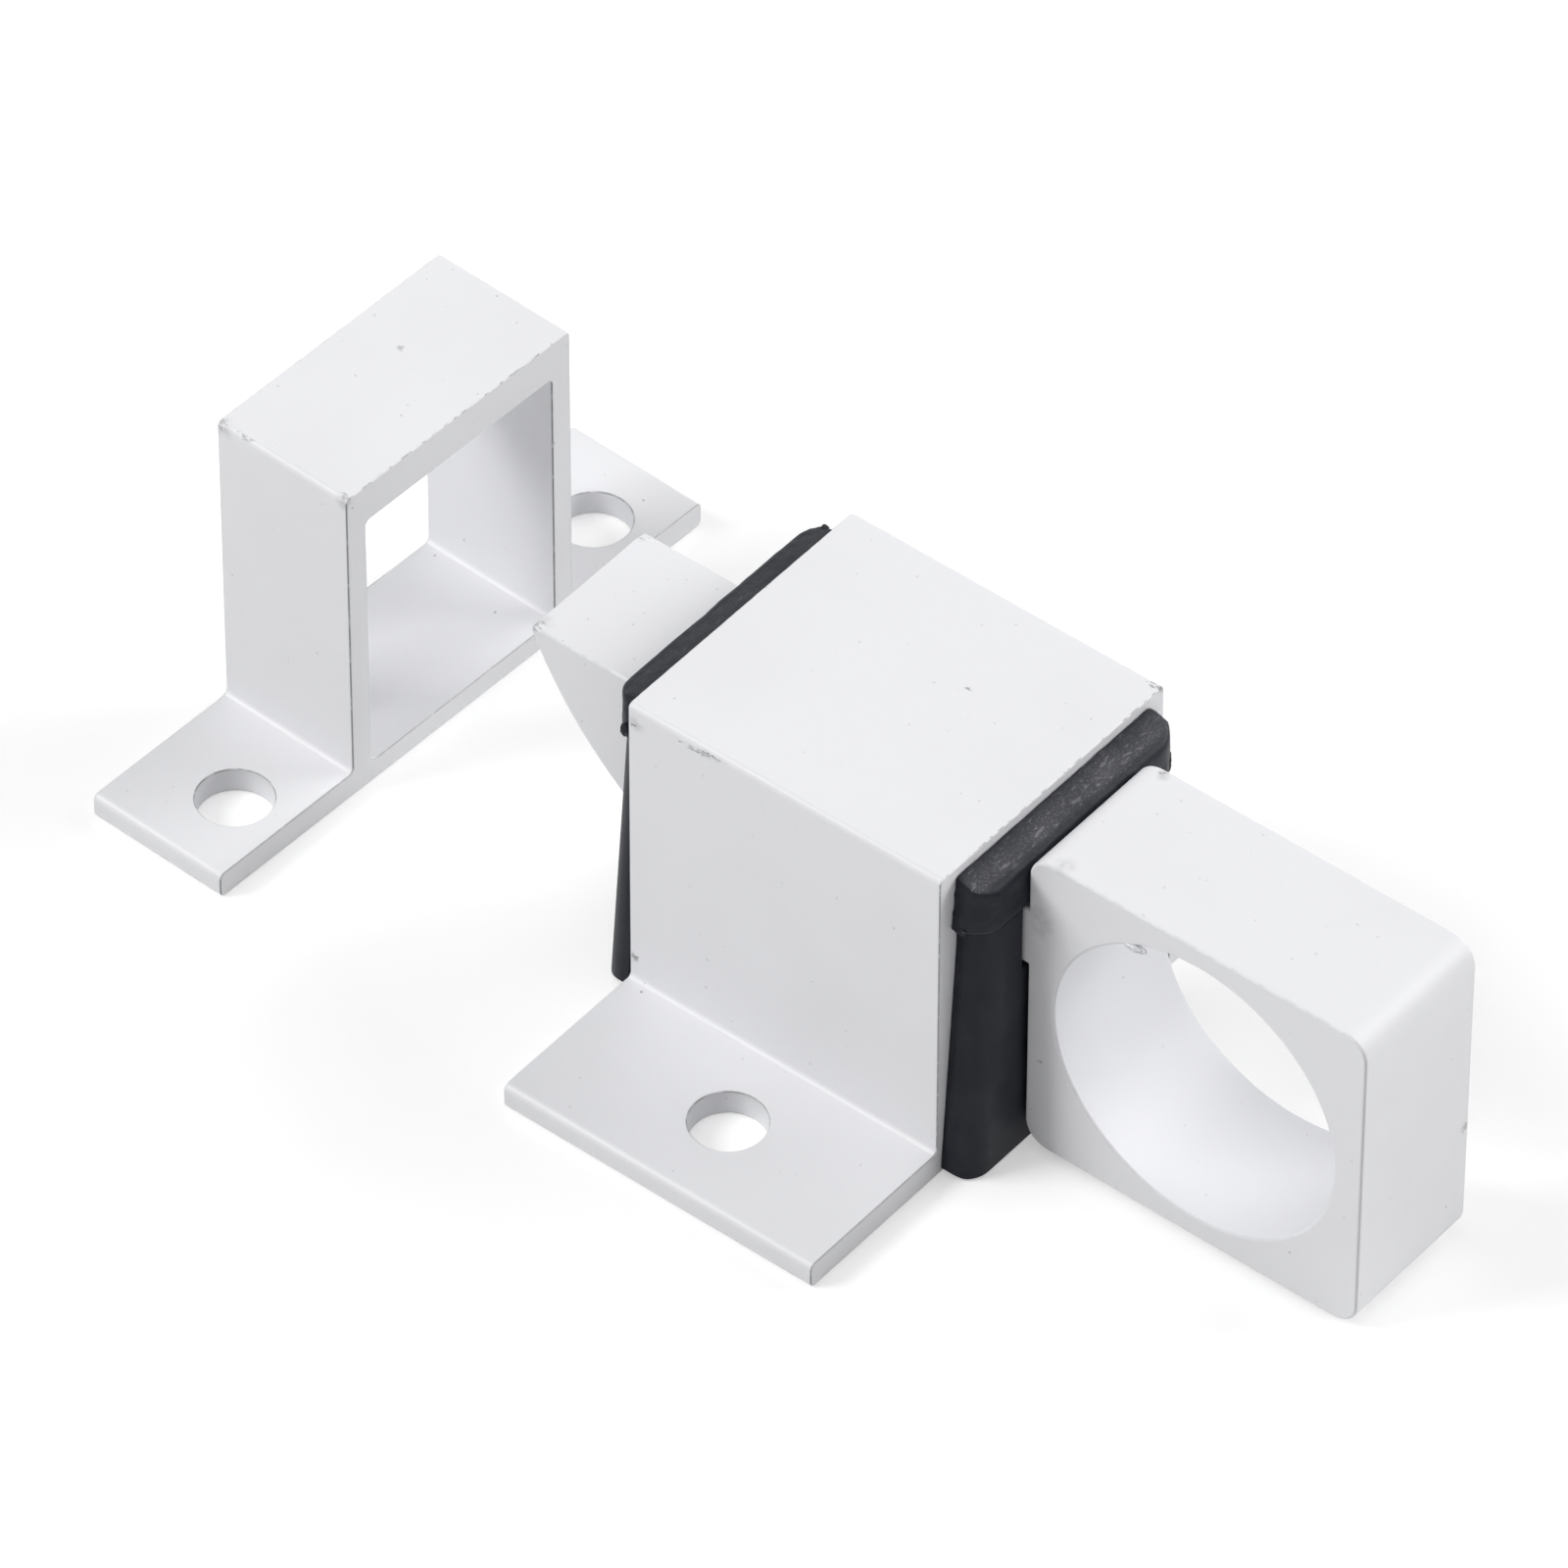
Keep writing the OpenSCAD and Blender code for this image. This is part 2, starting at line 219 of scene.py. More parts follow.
# Chips in the coating: the middle and the reach along X, Y and Z of each, in mm
CHIPS = {
    "housing": [
        ((-7.3, -11.35, 25.50), (1.9, 0.40, 0.24)),
        ((-6.4, -11.30, 25.78), (1.5, 0.35, 0.20)),
        ((2.7, 3.2, 26.2), (0.34, 0.28, 0.3)),
        ((-12.6, -11.2, 24.6), (0.3, 0.3, 0.22)),
        ((-12.6, -11.2, 3.8), (0.5, 0.4, 0.5)),
        ((11.8, 10.9, 26.1), (0.8, 0.5, 0.4)),
    ],
    "keeper": [
        ((-49.3, -7.8, 26.1), (0.5, 0.8, 0.5)),
        ((-47.4, -7.9, 26.15), (0.9, 0.35, 0.3)),
        ((-45.0, 4.7, 26.2), (0.35, 0.35, 0.3)),
        ((-38.9, -8.2, 26.1), (0.4, 0.5, 0.3)),
    ],
    "bolt": [
        ((-25.5, -5.3, 20.9), (0.7, 0.8, 0.5)),
        ((-25.5, 5.1, 20.9), (0.6, 0.6, 0.5)),
        ((16.6, 5.2, 25.9), (0.40, 0.35, 0.3)),
        ((22.8, -5.3, 22.6), (1.1, 0.5, 0.5)),
        ((15.6, -5.6, 8.2), (0.3, 0.3, 0.3)),
        ((40.8, 5.2, 10.1), (0.5, 0.6, 0.7)),
    ],
}

# Soft grey smudges on the coating, given in the same way, and how strongly they show. The first one on the
# bolt is partly painted shade: it greys the ring's side where the ring bush's shadow falls
SMUDGE_AND_SHADE_DEPTH = 0.6
SMUDGES_AND_SHADE = {
    "housing": [((-12.4, -11.25, 24.8), (1.0, 0.6, 0.9)), ((12.6, -10.9, 25.9), (0.8, 0.8, 0.8))],
    "keeper": [((-49.2, -7.9, 25.8), (1.2, 1.2, 1.0)), ((-38.7, -8.4, 25.8), (0.9, 0.9, 0.9))],
    "bolt": [
        # Partly painted shade: this smudge greys the ring's side beside the ring bush, where the bush's
        # shadow falls
        ((15.5, -5.6, 20.6), (1.3, 0.8, 1.9)),
        ((16.9, -5.0, 25.9), (1.1, 1.0, 0.8)),
        ((16.7, 5.1, 25.9), (0.7, 0.7, 0.6)),
        ((-25.3, -5.0, 20.9), (1.2, 1.2, 1.0)),
    ],
}

# Lumps of coat and flashes of moulding: the node that each is on, its middle, its reach along X, Y and Z, and
# the size of its waves, in mm
LUMPS = {
    "coat_burr_in_ring": ("bolt", (22.7, -5.35, 22.75), (0.85, 0.30, 0.30), 0.35),
    "coat_lump_on_ring": ("bolt", (40.50, 5.55, 10.1), (0.20, 0.16, 0.42), 0.10),
    "flash_nose_far": ("nose_bush_cap", (-14.10, 9.75, 25.10), (0.28, 0.24, 0.22), 0.12),
    "flash_nose_near": ("nose_bush_cap", (-14.20, -10.08, 22.25), (0.33, 0.14, 0.62), 0.24),
    "flash_ring_near": ("ring_bush_cap", (12.60, -10.10, 21.45), (0.55, 0.16, 0.22), 0.20),
    "flash_ring_far": ("ring_bush_cap", (13.85, 9.40, 22.10), (0.18, 0.18, 1.00), 0.14),
}


# Objects

def select_only(piece):
    """Makes one object the only one that is selected, and the active one."""
    bpy.ops.object.select_all(action="DESELECT")
    piece.select_set(True)
    bpy.context.view_layer.objects.active = piece


def body_of(node):
    """The body that a CAD node rides on."""
    return next(body for body, members in BODIES.items() if node in members)


def apply_new(piece, name, kind, **settings):
    """Adds a modifier with its settings to a piece and applies it."""
    select_only(piece)
    modifier = piece.modifiers.new(name, kind)
    for key, value in settings.items():
        setattr(modifier, key, value)
    bpy.ops.object.modifier_apply(modifier=name)


def dress(piece, node, material):
    """Gives a finished piece its material and the body of the CAD node that it is part of."""
    piece.data.materials.clear()
    piece.data.materials.append(material)
    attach(piece, body_of(node))


def stand_in(piece, node, material):
    """Lets a finished piece stand for a CAD node."""
    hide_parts(node)
    dress(piece, node, material)


def whole_copy(node, name):
    """A copy of a CAD node's solid, with its triangles joined into whole faces."""
    piece = frame["nodes"][node].copy()
    piece.data = piece.data.copy()
    piece.name = name
    piece.parent = None
    for key in list(piece.keys()):
        del piece[key]
    bpy.context.collection.objects.link(piece)
    select_only(piece)
    bpy.ops.object.mode_set(mode="EDIT")
    bpy.ops.mesh.select_all(action="SELECT")
    bpy.ops.mesh.remove_doubles(threshold=SAME_POINT)
    bpy.ops.mesh.dissolve_limited(angle_limit=FLAT)
    bpy.ops.object.mode_set(mode="OBJECT")
    return piece


def ease_edges(piece, edge):
    """Rounds a piece's sharp edges by a small radius in mm, and keeps its flat faces flat."""
    apply_new(
        piece, "eased edges", "BEVEL",
        width=edge * MM,
        segments=EDGE_STEPS,
        limit_method="ANGLE",
        angle_limit=SHARP,
        use_clamp_overlap=False,
    )
    bpy.ops.object.shade_smooth_by_angle(angle=SHARP)
    apply_new(piece, "flat faces stay flat", "WEIGHTED_NORMAL", keep_sharp=True)


def make_uneven(piece, name, depth, length):
    """Gives a piece's skin slight waves of a depth and a length in mm."""
    waves = bpy.data.textures.new(name, "CLOUDS")
    waves.noise_scale = length * MM
    apply_new(
        piece, name, "DISPLACE",
        texture=waves,
        texture_coords="LOCAL",
        strength=depth * MM,
        mid_level=0.5,
    )


# Shader trees

def put(tree, node, inputs):
    """Sets a node's inputs to values or links them to other nodes' outputs."""
    for key, value in inputs.items():
        if isinstance(value, bpy.types.NodeSocket):
            tree.links.new(value, node.inputs[key])
        else:
            node.inputs[key].default_value = value
    return node


def add(tree, kind, inputs=None, **settings):
    """Adds a shader node with its own settings and its inputs."""
    node = tree.nodes.new(kind)
    for key, value in settings.items():
        setattr(node, key, value)
    return put(tree, node, inputs or {})


def calc(tree, operation, first, second=0.0):
    """The result of a maths node."""
    return add(tree, "ShaderNodeMath", {0: first, 1: second}, operation=operation).outputs[0]


def dot(tree, first, second):
    """The dot product of two vectors."""
    return add(tree, "ShaderNodeVectorMath", {0: first, 1: second}, operation="DOT_PRODUCT").outputs["Value"]


def fade(tree, value, start, end, low=0.0, high=1.0):
    """A smooth step from low to high while value goes from start to end."""
    inputs = {"Value": value, "From Min": start, "From Max": end, "To Min": low, "To Max": high}
    return add(tree, "ShaderNodeMapRange", inputs, interpolation_type="SMOOTHSTEP").outputs["Result"]


def fade_out(tree, value, reach):
    """A smooth step from 1 down to 0 while value goes through a reach that is given in mm."""
    start, end = reach
    return fade(tree, value, start * MM, end * MM, 1.0, 0.0)


def band(tree, value, rise, fall):
    """A mask that rises over one range of a value and falls again over a higher one."""
    return calc(tree, "MULTIPLY", fade(tree, value, *rise), fade(tree, value, *fall, 1.0, 0.0))


def noise(tree, place, waves, detail):
    """A grey noise from 0 to 1, with its number of waves in a metre and its levels of detail."""
    inputs = {"Vector": place, "Scale": waves, "Detail": detail}
    return add(tree, "ShaderNodeTexNoise", inputs).outputs["Fac"]


def clouds(tree, place, kind, low=0.0, high=1.0):
    """A mask from low to high, made of clouds of one of the kinds above."""
    waves, detail, start, end = kind
    return fade(tree, noise(tree, place, waves, detail), start, end, low, high)


def drawn_out(tree, place, scale, turn=(0.0, 0.0, 0.0)):
    """A place for a pattern that is stretched and turned. A smaller scale makes the pattern longer."""
    inputs = {"Vector": place, "Scale": scale, "Rotation": turn}
    return add(tree, "ShaderNodeMapping", inputs).outputs["Vector"]


def component(tree, vector, axis):
    """The X, Y or Z of a vector."""
    return add(tree, "ShaderNodeSeparateXYZ", {"Vector": vector}).outputs[axis]


def cover(tree, mask, under, over):
    """The colour under, covered by the colour over where the mask says."""
    return add(tree, "ShaderNodeMix", {0: mask, 6: under, 7: over}, data_type="RGBA").outputs[2]


def stain(tree, colour, mask, depth, over):
    """A colour, covered by another one where the mask says, and no more than the depth says."""
    return cover(tree, calc(tree, "MULTIPLY", mask, depth), colour, over)


def spread_from(tree, place, middle, reach):
    """The distance from a middle, as a share of the reach along each axis."""
    away = add(tree, "ShaderNodeVectorMath", {0: place, 1: middle}, operation="SUBTRACT")
    scaled = add(tree, "ShaderNodeVectorMath", {0: away.outputs[0], 1: reach}, operation="DIVIDE")
    return add(tree, "ShaderNodeVectorMath", {0: scaled.outputs[0]}, operation="LENGTH").outputs["Value"]


def new_group(name, inputs, output):
    """An empty shader group with named inputs and one output. Returns its tree, its entry and its exit."""
    tree = bpy.data.node_groups.new(name, "ShaderNodeTree")
    for label, kind in inputs.items():
        tree.interface.new_socket(label, in_out="INPUT", socket_type=kind)
    tree.interface.new_socket(output, in_out="OUTPUT", socket_type="NodeSocketFloat")
    entry = tree.nodes.new("NodeGroupInput")
    leave = tree.nodes.new("NodeGroupOutput")
    return tree, entry.outputs, leave.inputs


def place_group(tree, group, inputs):
    """Puts a shader group into a material and returns its output."""
    node = tree.nodes.new("ShaderNodeGroup")
    node.node_tree = group
    return put(tree, node, inputs).outputs[0]


def specks_group():
    """Small round specks, at most one in each cell of a loose grid, some dark and some faint."""
    smallest = 0.35
    core = 0.4
    faint_below = 0.3
    faintest = 0.25
    inputs = {"Vector": VECTOR, "Cells": NUMBER, "Radius": NUMBER, "Share": NUMBER}
    tree, given, result = new_group("Specks", inputs, "Mask")
    cells = add(tree, "ShaderNodeTexVoronoi", {"Vector": given["Vector"], "Scale": given["Cells"]})
    pick = add(tree, "ShaderNodeSeparateColor", {"Color": cells.outputs["Color"]})
    size = fade(tree, pick.outputs["Green"], 0.0, 1.0, smallest, 1.0)
    reach = calc(tree, "MULTIPLY", given["Radius"], size)
    inner = calc(tree, "MULTIPLY", reach, core)
    spot = fade(tree, cells.outputs["Distance"], inner, reach, 1.0, 0.0)
    chosen = calc(tree, "LESS_THAN", pick.outputs["Red"], given["Share"])
    depth = fade(tree, pick.outputs["Blue"], faint_below, 1.0, faintest, 1.0)
    tree.links.new(calc(tree, "MULTIPLY", calc(tree, "MULTIPLY", spot, depth), chosen), result["Mask"])
    return tree


def chip_group():
    """A ragged patch of dashes along X, round a given middle, with its own reach along each axis."""
    thinning = 0.28
    ragged = (0.33, 0.43)
    tree, given, result = new_group("Chip", SPOT_INPUTS, "Mask")
    radius = spread_from(tree, given["Vector"], given["Middle"], given["Reach"])
    grain = noise(tree, drawn_out(tree, given["Vector"], DASHES), *CHIP_GRAIN)
    left = calc(tree, "SUBTRACT", grain, calc(tree, "MULTIPLY", radius, thinning))
    tree.links.new(fade(tree, left, *ragged), result["Mask"])
    return tree


def smudge_and_shade_group():
    """A soft cloud round a given middle, with its own reach along each axis."""
    core = 0.1
    tree, given, result = new_group("Smudge and shade", SPOT_INPUTS, "Mask")
    radius = spread_from(tree, given["Vector"], given["Middle"], given["Reach"])
    soft = fade(tree, radius, core, 1.0, 1.0, 0.0)
    cloudy = clouds(tree, given["Vector"], SMUDGE_AND_SHADE_CLOUDS)
    tree.links.new(calc(tree, "MULTIPLY", soft, cloudy), result["Mask"])
    return tree


def cut_edge_group():
    """A thin line on the eased edge round a sawn end, whole on upright and low edges and broken elsewhere."""
    low_share = 0.65
    whole_wear = (0.25, 0.50, 0.45, 1.0)
    broken_wear = (0.48, 0.60, 0.0, 0.70)
    inputs = {"Vector": VECTOR, "Normal": VECTOR, "Along": VECTOR, "Low end": NUMBER, "High end": NUMBER}
    tree, given, result = new_group("Cut edge", inputs, "Mask")
    reach = dot(tree, given["Vector"], given["Along"])
    from_low = calc(tree, "SUBTRACT", reach, given["Low end"])
    from_high = calc(tree, "SUBTRACT", given["High end"], reach)
    near = fade_out(tree, calc(tree, "MINIMUM", from_low, from_high), EDGE_REACH)
    facing = calc(tree, "ABSOLUTE", dot(tree, given["Normal"], given["Along"]))
    rim = band(tree, facing, *SAWN_RIM_TURN)
    tilt = calc(tree, "ABSOLUTE", component(tree, given["Normal"], "Z"))
    upright = fade(tree, tilt, *UPRIGHT, 1.0, 0.0)
    height = component(tree, given["Vector"], "Z")
    low = calc(tree, "MULTIPLY", fade_out(tree, height, LOW_EDGES), low_share)
    grain = noise(tree, given["Vector"], *WEAR_GRAIN)
    whole = fade(tree, grain, *whole_wear)
    broken = fade(tree, grain, *broken_wear)
    steady = calc(tree, "MULTIPLY", calc(tree, "MAXIMUM", upright, low), whole)
    line = calc(tree, "MAXIMUM", steady, broken)
    tree.links.new(calc(tree, "MULTIPLY", calc(tree, "MULTIPLY", rim, near), line), result["Mask"])
    return tree


def hole_rim_group():
    """A thin worn line on the eased rims of an upright hole, round a given middle and at a given radius."""
    wear = (0.35, 0.55, 0.4, 1.0)
    inputs = {"Vector": VECTOR, "Normal": VECTOR, "Middle": VECTOR, "Radius": NUMBER}
    tree, given, result = new_group("Hole rim", inputs, "Mask")
    radius = spread_from(tree, given["Vector"], given["Middle"], (1, 1, LEFT_OUT))
    off = calc(tree, "ABSOLUTE", calc(tree, "SUBTRACT", radius, given["Radius"]))
    near = fade_out(tree, off, RIM_REACH)
    facing = calc(tree, "ABSOLUTE", component(tree, given["Normal"], "Z"))
    rim = band(tree, facing, *HOLE_RIM_TURN)
    worn = fade(tree, noise(tree, given["Vector"], *WEAR_GRAIN), *wear)
    tree.links.new(calc(tree, "MULTIPLY", calc(tree, "MULTIPLY", rim, near), worn), result["Mask"])
    return tree


def peel_group():
    """The slight orange peel of a sprayed coating, as a height from 0 to 1."""
    grain_share = 0.15
    tree, given, result = new_group("Orange peel", {"Vector": VECTOR}, "Height")
    waves = noise(tree, given["Vector"], *COAT_PEEL)
    grain = calc(tree, "MULTIPLY", noise(tree, given["Vector"], *COAT_GRAIN), grain_share)
    tree.links.new(calc(tree, "ADD", waves, grain), result["Height"])
    return tree


def rubbed_group():
    """A haze of fine speckles and short scratches, most of them along Y, spread by a slow noise."""
    scratched = (0.0, 0.75)
    speckled = (0.32, 0.65)
    uneven = (0.6, 1.15)
    tree, given, result = new_group("Rubbed", {"Vector": VECTOR}, "Mask")
    along = drawn_out(tree, given["Vector"], SCRATCH_LENGTH, SCRATCH_TURN)
    scratches = clouds(tree, along, SCRATCHES, *scratched)
    speckles = clouds(tree, given["Vector"], SPECKLES, *speckled)
    spread = clouds(tree, given["Vector"], RUBBED_CLOUDS, *uneven)
    tree.links.new(calc(tree, "MULTIPLY", calc(tree, "ADD", scratches, speckles), spread), result["Mask"])
    return tree


SPECK = specks_group()
CHIP = chip_group()
SMUDGE_AND_SHADE_MARK = smudge_and_shade_group()
CUT_EDGE = cut_edge_group()
HOLE_RIM = hole_rim_group()
PEEL = peel_group()
RUBBED = rubbed_group()


# Materials

def new_material(name):
    """A material with only its shader and its output. Returns it with its tree and its shader."""
    material = bpy.data.materials.new(name)
    material.use_nodes = True
    tree = material.node_tree
    tree.nodes.clear()
    shader = tree.nodes.new("ShaderNodeBsdfPrincipled")
    out = tree.nodes.new("ShaderNodeOutputMaterial")
    tree.links.new(shader.outputs[0], out.inputs["Surface"])
    return material, tree, shader


def object_place(tree):
    """The place on the object, in metres."""
    return tree.nodes.new("ShaderNodeTexCoord").outputs["Object"]


def surface_normal(tree):
    """The direction that the surface faces."""
    return tree.nodes.new("ShaderNodeNewGeometry").outputs["Normal"]


def bump(tree, height, depth):
    """A normal that is tilted by a height from 0 to 1, which stands for a depth in mm."""
    return add(tree, "ShaderNodeBump", {"Height": height, "Distance": depth * MM}).outputs["Normal"]


def marks(tree, place, group, spots):
    """The marks of one kind at a list of middles and reaches in mm, as one mask."""
    mask = 0.0
    for middle, reach in spots:
        inputs = {"Vector": place, "Middle": Vector(middle) * MM, "Reach": Vector(reach) * MM}
        mask = calc(tree, "MAXIMUM", place_group(tree, group, inputs), mask)
    return mask


def sawn_edges(tree, place, normal, node, along):
    """The thin worn line round both sawn ends of a coated piece, as a mask."""
    reaches = [corner.co.dot(along) for corner in frame["nodes"][node].data.vertices]
    ends = {"Low end": min(reaches), "High end": max(reaches)}
    return place_group(tree, CUT_EDGE, {"Vector": place, "Normal": normal, "Along": along, **ends})


def hole_rims(tree, place, normal, middles):
    """The thin worn lines on the rims of the screw holes, as one mask."""
    mask = 0.0
    for middle in middles:
        inputs = {"Vector": place, "Normal": normal, "Middle": middle, "Radius": HOLE_RADIUS}
        mask = calc(tree, "MAXIMUM", place_group(tree, HOLE_RIM, inputs), mask)
    return mask


def finger_wall(tree, place):
    """The wall of the finger hole, as a mask."""
    radius = spread_from(tree, place, FINGER_MIDDLE, (1, LEFT_OUT, 1))
    return fade_out(tree, radius, FINGER_REACH)


def powder_coat(node, along):
    """White powder coat on one node: thin on the edges of its sawn ends, with specks, smudges and chips, and
    painted shade on the bolt.
    """
    material, tree, shader = new_material("White coat on the " + node)
    place = object_place(tree)
    normal = surface_normal(tree)
    colour = cover(tree, clouds(tree, place, COAT_CLOUDS), COATING, COATING_DULL)
    if node == "bolt":
        # Painted shade: the finger hole's wall gets a darker coat colour for the shade inside the hole
        colour = cover(tree, finger_wall(tree, place), colour, COATING_PAINTED_SHADE)
    # Smudges; the one beside the ring bush is partly painted shade, for the bush's shadow on the ring
    smudged_and_shaded = marks(tree, place, SMUDGE_AND_SHADE_MARK, SMUDGES_AND_SHADE[node])
    colour = stain(tree, colour, smudged_and_shaded, SMUDGE_AND_SHADE_DEPTH, SMUDGE_AND_SHADE)
    edge = sawn_edges(tree, place, normal, node, along)
    colour = stain(tree, colour, edge, EDGE_LINES[node], BARE_EDGE)
    rims = hole_rims(tree, place, normal, HOLES[node])
    colour = stain(tree, colour, rims, HOLE_LINES, BARE_EDGE)
    for cells, radius, share, depth in SPECKS:
        spots = place_group(tree, SPECK, {"Vector": place, "Cells": cells, "Radius": radius, "Share": share})
        colour = stain(tree, colour, spots, depth, DIRT)
    chipped = marks(tree, place, CHIP, CHIPS[node])
    colour = stain(tree, colour, chipped, CHIP_DEPTHS[node], BARE_CHIP)
    worn = calc(tree, "MAXIMUM", edge, chipped)
    peel = place_group(tree, PEEL, {"Vector": place})
    height = calc(tree, "SUBTRACT", peel, calc(tree, "MULTIPLY", worn, WORN_STEP))
    put(tree, shader, {
        "Base Color": colour,
        "Roughness": fade(tree, worn, 0.0, 1.0, *COAT_ROUGHNESS),
        "Normal": bump(tree, height, COAT_DEPTH),
    })
    return material


def scuffed_top(tree, place, scuffed):
    """How far a cap's top is scuffed: more towards its outer edge, but hardly on that edge, as a mask."""
    low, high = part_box("housing")
    across = component(tree, place, "X")
    from_middle = calc(tree, "ABSOLUTE", calc(tree, "SUBTRACT", across, (low.x + high.x) / 2))
    out = calc(tree, "SUBTRACT", from_middle, (high.x - low.x) / 2)
    start, end = SCUFF_GROWS
    inner = fade(tree, out, start * MM, end * MM, SCUFF_INSIDE, 1.0)
    start, end = SCUFF_ENDS
    outer = fade(tree, out, start * MM, end * MM, scuffed, SCUFF_OUTSIDE * scuffed)
    facing_up = fade(tree, component(tree, surface_normal(tree), "Z"), *FACING_UP)
    return calc(tree, "MULTIPLY", calc(tree, "MULTIPLY", inner, outer), facing_up)


def moulded_black(name, scuffed):
    """Black moulded plastic. Where it is scuffed, the tops are greyed, up to their rounded outer edge."""
    fully_scuffed = 0.6
    material, tree, shader = new_material(name)
    place = object_place(tree)
    colour = cover(tree, clouds(tree, place, MOULDING_CLOUDS), MOULDING, MOULDING_WORN)
    rubbed = place_group(tree, RUBBED, {"Vector": place})
    scuff = calc(tree, "MULTIPLY", rubbed, scuffed_top(tree, place, scuffed))
    colour = cover(tree, scuff, colour, MOULDING_SCUFF)
    height = calc(tree, "SUBTRACT", noise(tree, place, *MOULDING_GRAIN), scuff)
    put(tree, shader, {
        "Base Color": colour,
        "Roughness": fade(tree, scuff, 0.0, fully_scuffed, *MOULDING_ROUGHNESS),
        "Specular IOR Level": MOULDING_SHINE,
        "Normal": bump(tree, height, MOULDING_DEPTH),
    })
    return material


def drawn_steel(name):
    """Drawn spring wire, bright with darker streaks."""
    darkening = (0.35, 0.65)
    roughening = (0.2, 0.8)
    material, tree, shader = new_material(name)
    streaks = noise(tree, object_place(tree), *WIRE_STREAKS)
    put(tree, shader, {
        "Base Color": cover(tree, fade(tree, streaks, *darkening), STEEL, STEEL_DARK),
        "Metallic": 1.0,
        "Roughness": fade(tree, streaks, *roughening, *WIRE_ROUGHNESS),
        "Normal": bump(tree, streaks, WIRE_DEPTH),
    })
    return material


# Pieces

def coated_pieces():
    """The three white pieces, each a slice of a section: along X for the hats, across it for the bolt."""
    across_keeper = (MOUNTS["keeper_screw_rear"] - MOUNTS["keeper_screw_front"]).normalized()
    sections = {
        "housing": Vector((1, 0, 0)),
        "keeper": across_keeper.cross(Vector((0, 0, 1))),
        "bolt": Vector((0, 1, 0)),
    }
    finishes = {}
    for node, along in sections.items():
        finishes[node] = powder_coat(node, along)
        piece = whole_copy(node, "coated_" + node)
        ease_edges(piece, COATED_EDGES[node])
        stand_in(piece, node, finishes[node])
    return finishes


def moulded_pieces():
    """The four black pieces of the end bushes. The caps are softened all over, and scuffed on top."""
    plain = moulded_black("Black moulding", 0.0)
    for node in ("nose_bush", "ring_bush"):
        piece = whole_copy(node, "moulded_" + node)
        ease_edges(piece, MOULDED_EDGE)
        stand_in(piece, node, plain)
    finishes = {}
    for node, scuffed in CAP_SCUFFS.items():
        finishes[node] = moulded_black("Scuffed moulding on the " + node, scuffed)
        piece = whole_copy(node, "moulded_" + node)
        apply_new(piece, "even skin", "REMESH", mode="VOXEL", voxel_size=SKIN_CELL * MM)
        apply_new(piece, "soft edges", "SMOOTH", factor=SMOOTHING_SHARE, iterations=SMOOTHING_ROUNDS)
        make_uneven(piece, node + " waves", WAVE_DEPTH, WAVE_LENGTH)
        bpy.ops.object.shade_smooth()
        stand_in(piece, node, finishes[node])
    return finishes


def lumps(finishes):
    """The lumps that the spraying left on the ring, and the flashes that the moulding left on the caps."""
    for name, (node, middle, reach, waves) in LUMPS.items():
        bpy.ops.object.select_all(action="DESELECT")
        bpy.ops.mesh.primitive_ico_sphere_add(
            subdivisions=4,
            radius=1.0,
            location=Vector(middle) * MM,
            scale=Vector(reach) * MM,
        )
        piece = bpy.context.object
        piece.name = name
        bpy.ops.object.transform_apply(location=True, rotation=True, scale=True)
        make_uneven(piece, name + " waves", waves, waves)
        bpy.ops.object.shade_smooth()
        dress(piece, node, finishes[node])


def coil(name, start, axis_point, radius, pitch, turns):
    """A stretch of the spring's wire, wound round the slide's direction from a given X."""
    bpy.ops.object.select_all(action="DESELECT")
    bpy.ops.mesh.primitive_circle_add(
        vertices=WIRE_SIDES,
        radius=WIRE * MM / 2,
        location=(0, 0, radius),
        rotation=(math.radians(90), 0, 0),
    )
    stretch = bpy.context.object
    stretch.name = name
    bpy.ops.object.transform_apply(location=True, rotation=True, scale=True)
    stretch.location = (start, axis_point.y, axis_point.z)
    apply_new(
        stretch, "winding", "SCREW",
        axis="X",
        angle=math.radians(360),
        screw_offset=pitch,
        steps=TURN_STEPS,
        render_steps=TURN_STEPS,
        iterations=turns,
    )
    bpy.ops.object.transform_apply(location=True, rotation=True, scale=True)
    return stretch


def spring():
    """The compression spring: open turns between two closed ones, which close up as the bolt is pulled."""
    low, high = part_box("spring")
    middle = (low + high) / 2
    radius = (high.z - low.z - WIRE * MM) / 2
    first = low.x + WIRE * MM / 2
    last = high.x - WIRE * MM / 2
    closed = CLOSED_PITCH * MM
    open_pitch = (last - first - 2 * closed) / OPEN_TURNS
    wound = [
        coil("spring_coil", first, middle, radius, closed, 1),
        coil("spring_open", first + closed, middle, radius, open_pitch, OPEN_TURNS),
        coil("spring_last", last - closed, middle, radius, closed, 1),
    ]
    bpy.ops.object.select_all(action="DESELECT")
    for stretch in wound:
        stretch.select_set(True)
    piece = wound[0]
    bpy.context.view_layer.objects.active = piece
    bpy.ops.object.join()
    bpy.ops.object.mode_set(mode="EDIT")
    bpy.ops.mesh.select_all(action="SELECT")
    bpy.ops.mesh.remove_doubles(threshold=SAME_END)
    bpy.ops.mesh.fill_holes(sides=0)
    bpy.ops.mesh.select_all(action="SELECT")
    bpy.ops.mesh.normals_make_consistent(inside=False)
    bpy.ops.object.mode_set(mode="OBJECT")
    bpy.ops.object.shade_smooth_by_angle(angle=SHARP)
    stand_in(piece, "spring", drawn_steel("Drawn steel"))
    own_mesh(piece)


# Camera, light and floor

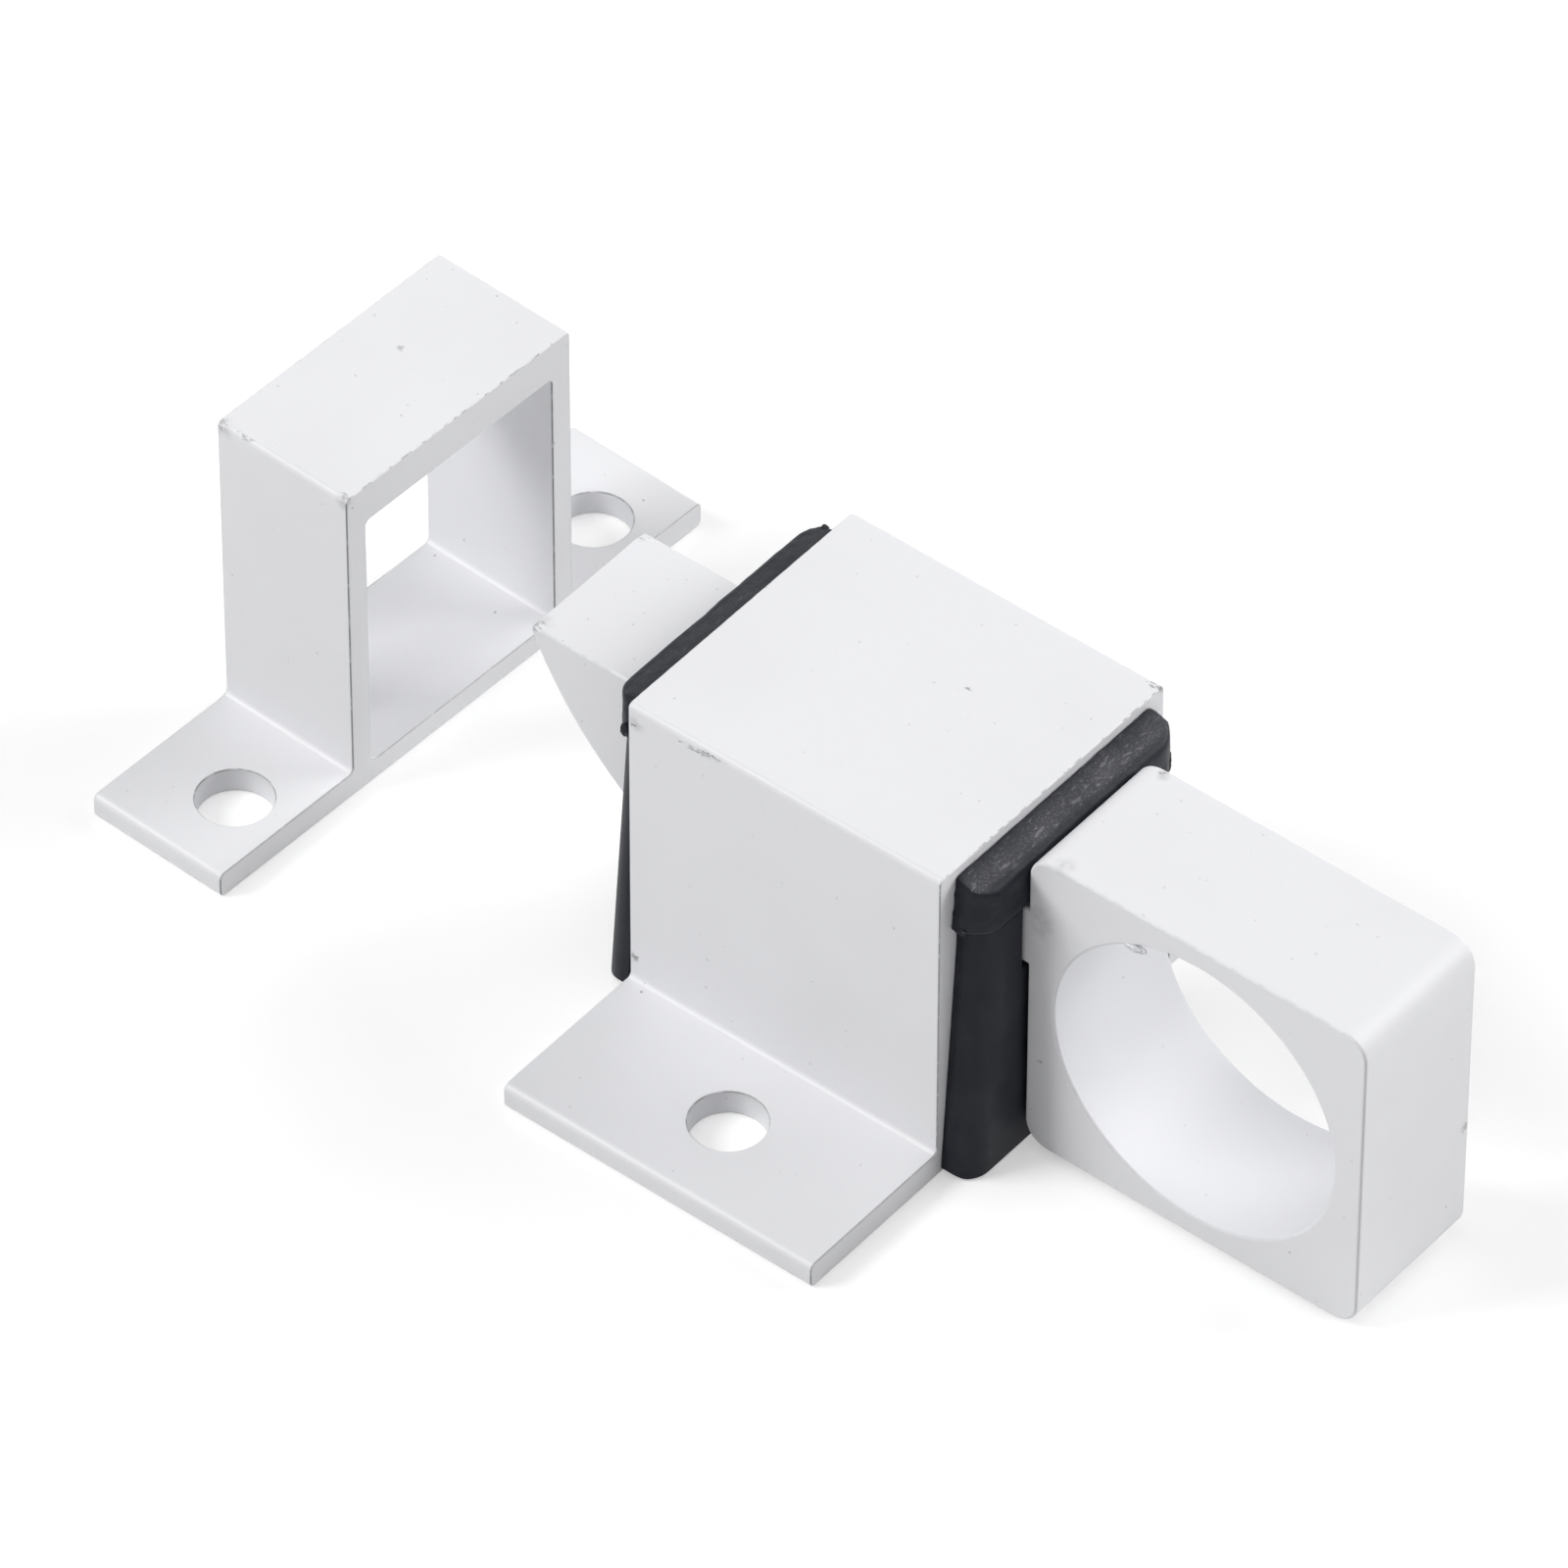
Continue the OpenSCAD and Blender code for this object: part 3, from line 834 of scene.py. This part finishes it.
def camera():
    """The camera at the photograph's place."""
    back = Vector((
        math.sin(AZIMUTH) * math.cos(ELEVATION),
        -math.cos(AZIMUTH) * math.cos(ELEVATION),
        math.sin(ELEVATION),
    ))
    bpy.ops.object.camera_add(location=(AIM + back * DISTANCE) * MM)
    eye = bpy.context.object
    eye.rotation_euler = back.to_track_quat("Z", "Y").to_euler()
    eye.rotation_euler.rotate_axis("Z", ROLL)
    eye.data.lens = LENS
    eye.data.sensor_width = SENSOR
    bpy.context.scene.camera = eye


def seen_directly(tree):
    """1 for rays that show a surface to the eye, straight, in a reflection or through glass, or else 0."""
    path = tree.nodes.new("ShaderNodeLightPath").outputs
    mirrored = calc(tree, "MAXIMUM", path["Is Glossy Ray"], path["Is Transmission Ray"])
    return calc(tree, "MAXIMUM", path["Is Camera Ray"], mirrored)


def sky():
    """An even sky that lights the object, and is white where it is seen."""
    world = bpy.data.worlds.new("Studio")
    bpy.context.scene.world = world
    world.use_nodes = True
    tree = world.node_tree
    tree.nodes.clear()
    strength = fade(tree, seen_directly(tree), 0.0, 1.0, SKY, 1.0)
    light = add(tree, "ShaderNodeBackground", {"Color": WHITE, "Strength": strength})
    out = tree.nodes.new("ShaderNodeOutputWorld")
    tree.links.new(light.outputs[0], out.inputs["Surface"])


def lamps():
    """The soft lamps, each turned towards the object."""
    for name, place, size, power in LAMPS:
        bpy.ops.object.light_add(type="AREA", location=place)
        soft = bpy.context.object
        soft.name = name
        soft.data.size = size
        soft.data.energy = power
        soft.rotation_euler = Vector(place).to_track_quat("Z", "Y").to_euler()


def floor():
    """A plain pale floor that turns white where it is seen and no shadow falls."""
    material, tree, shader = new_material("Studio floor")
    glow = fade(tree, seen_directly(tree), 0.0, 1.0, 0.0, FLOOR_GLOW)
    put(tree, shader, {
        "Base Color": FLOOR,
        "Roughness": 1.0,
        "Emission Color": WHITE,
        "Emission Strength": glow,
    })
    bpy.ops.mesh.primitive_plane_add(size=FLOOR_SIZE, location=(0, 0, -FLOOR_GAP))
    ground = bpy.context.object
    ground.name = "studio_floor"
    ground.data.materials.append(material)


lumps({**coated_pieces(), **moulded_pieces()})
spring()
camera()
sky()
lamps()
floor()
bpy.context.scene.view_settings.view_transform = "Standard"
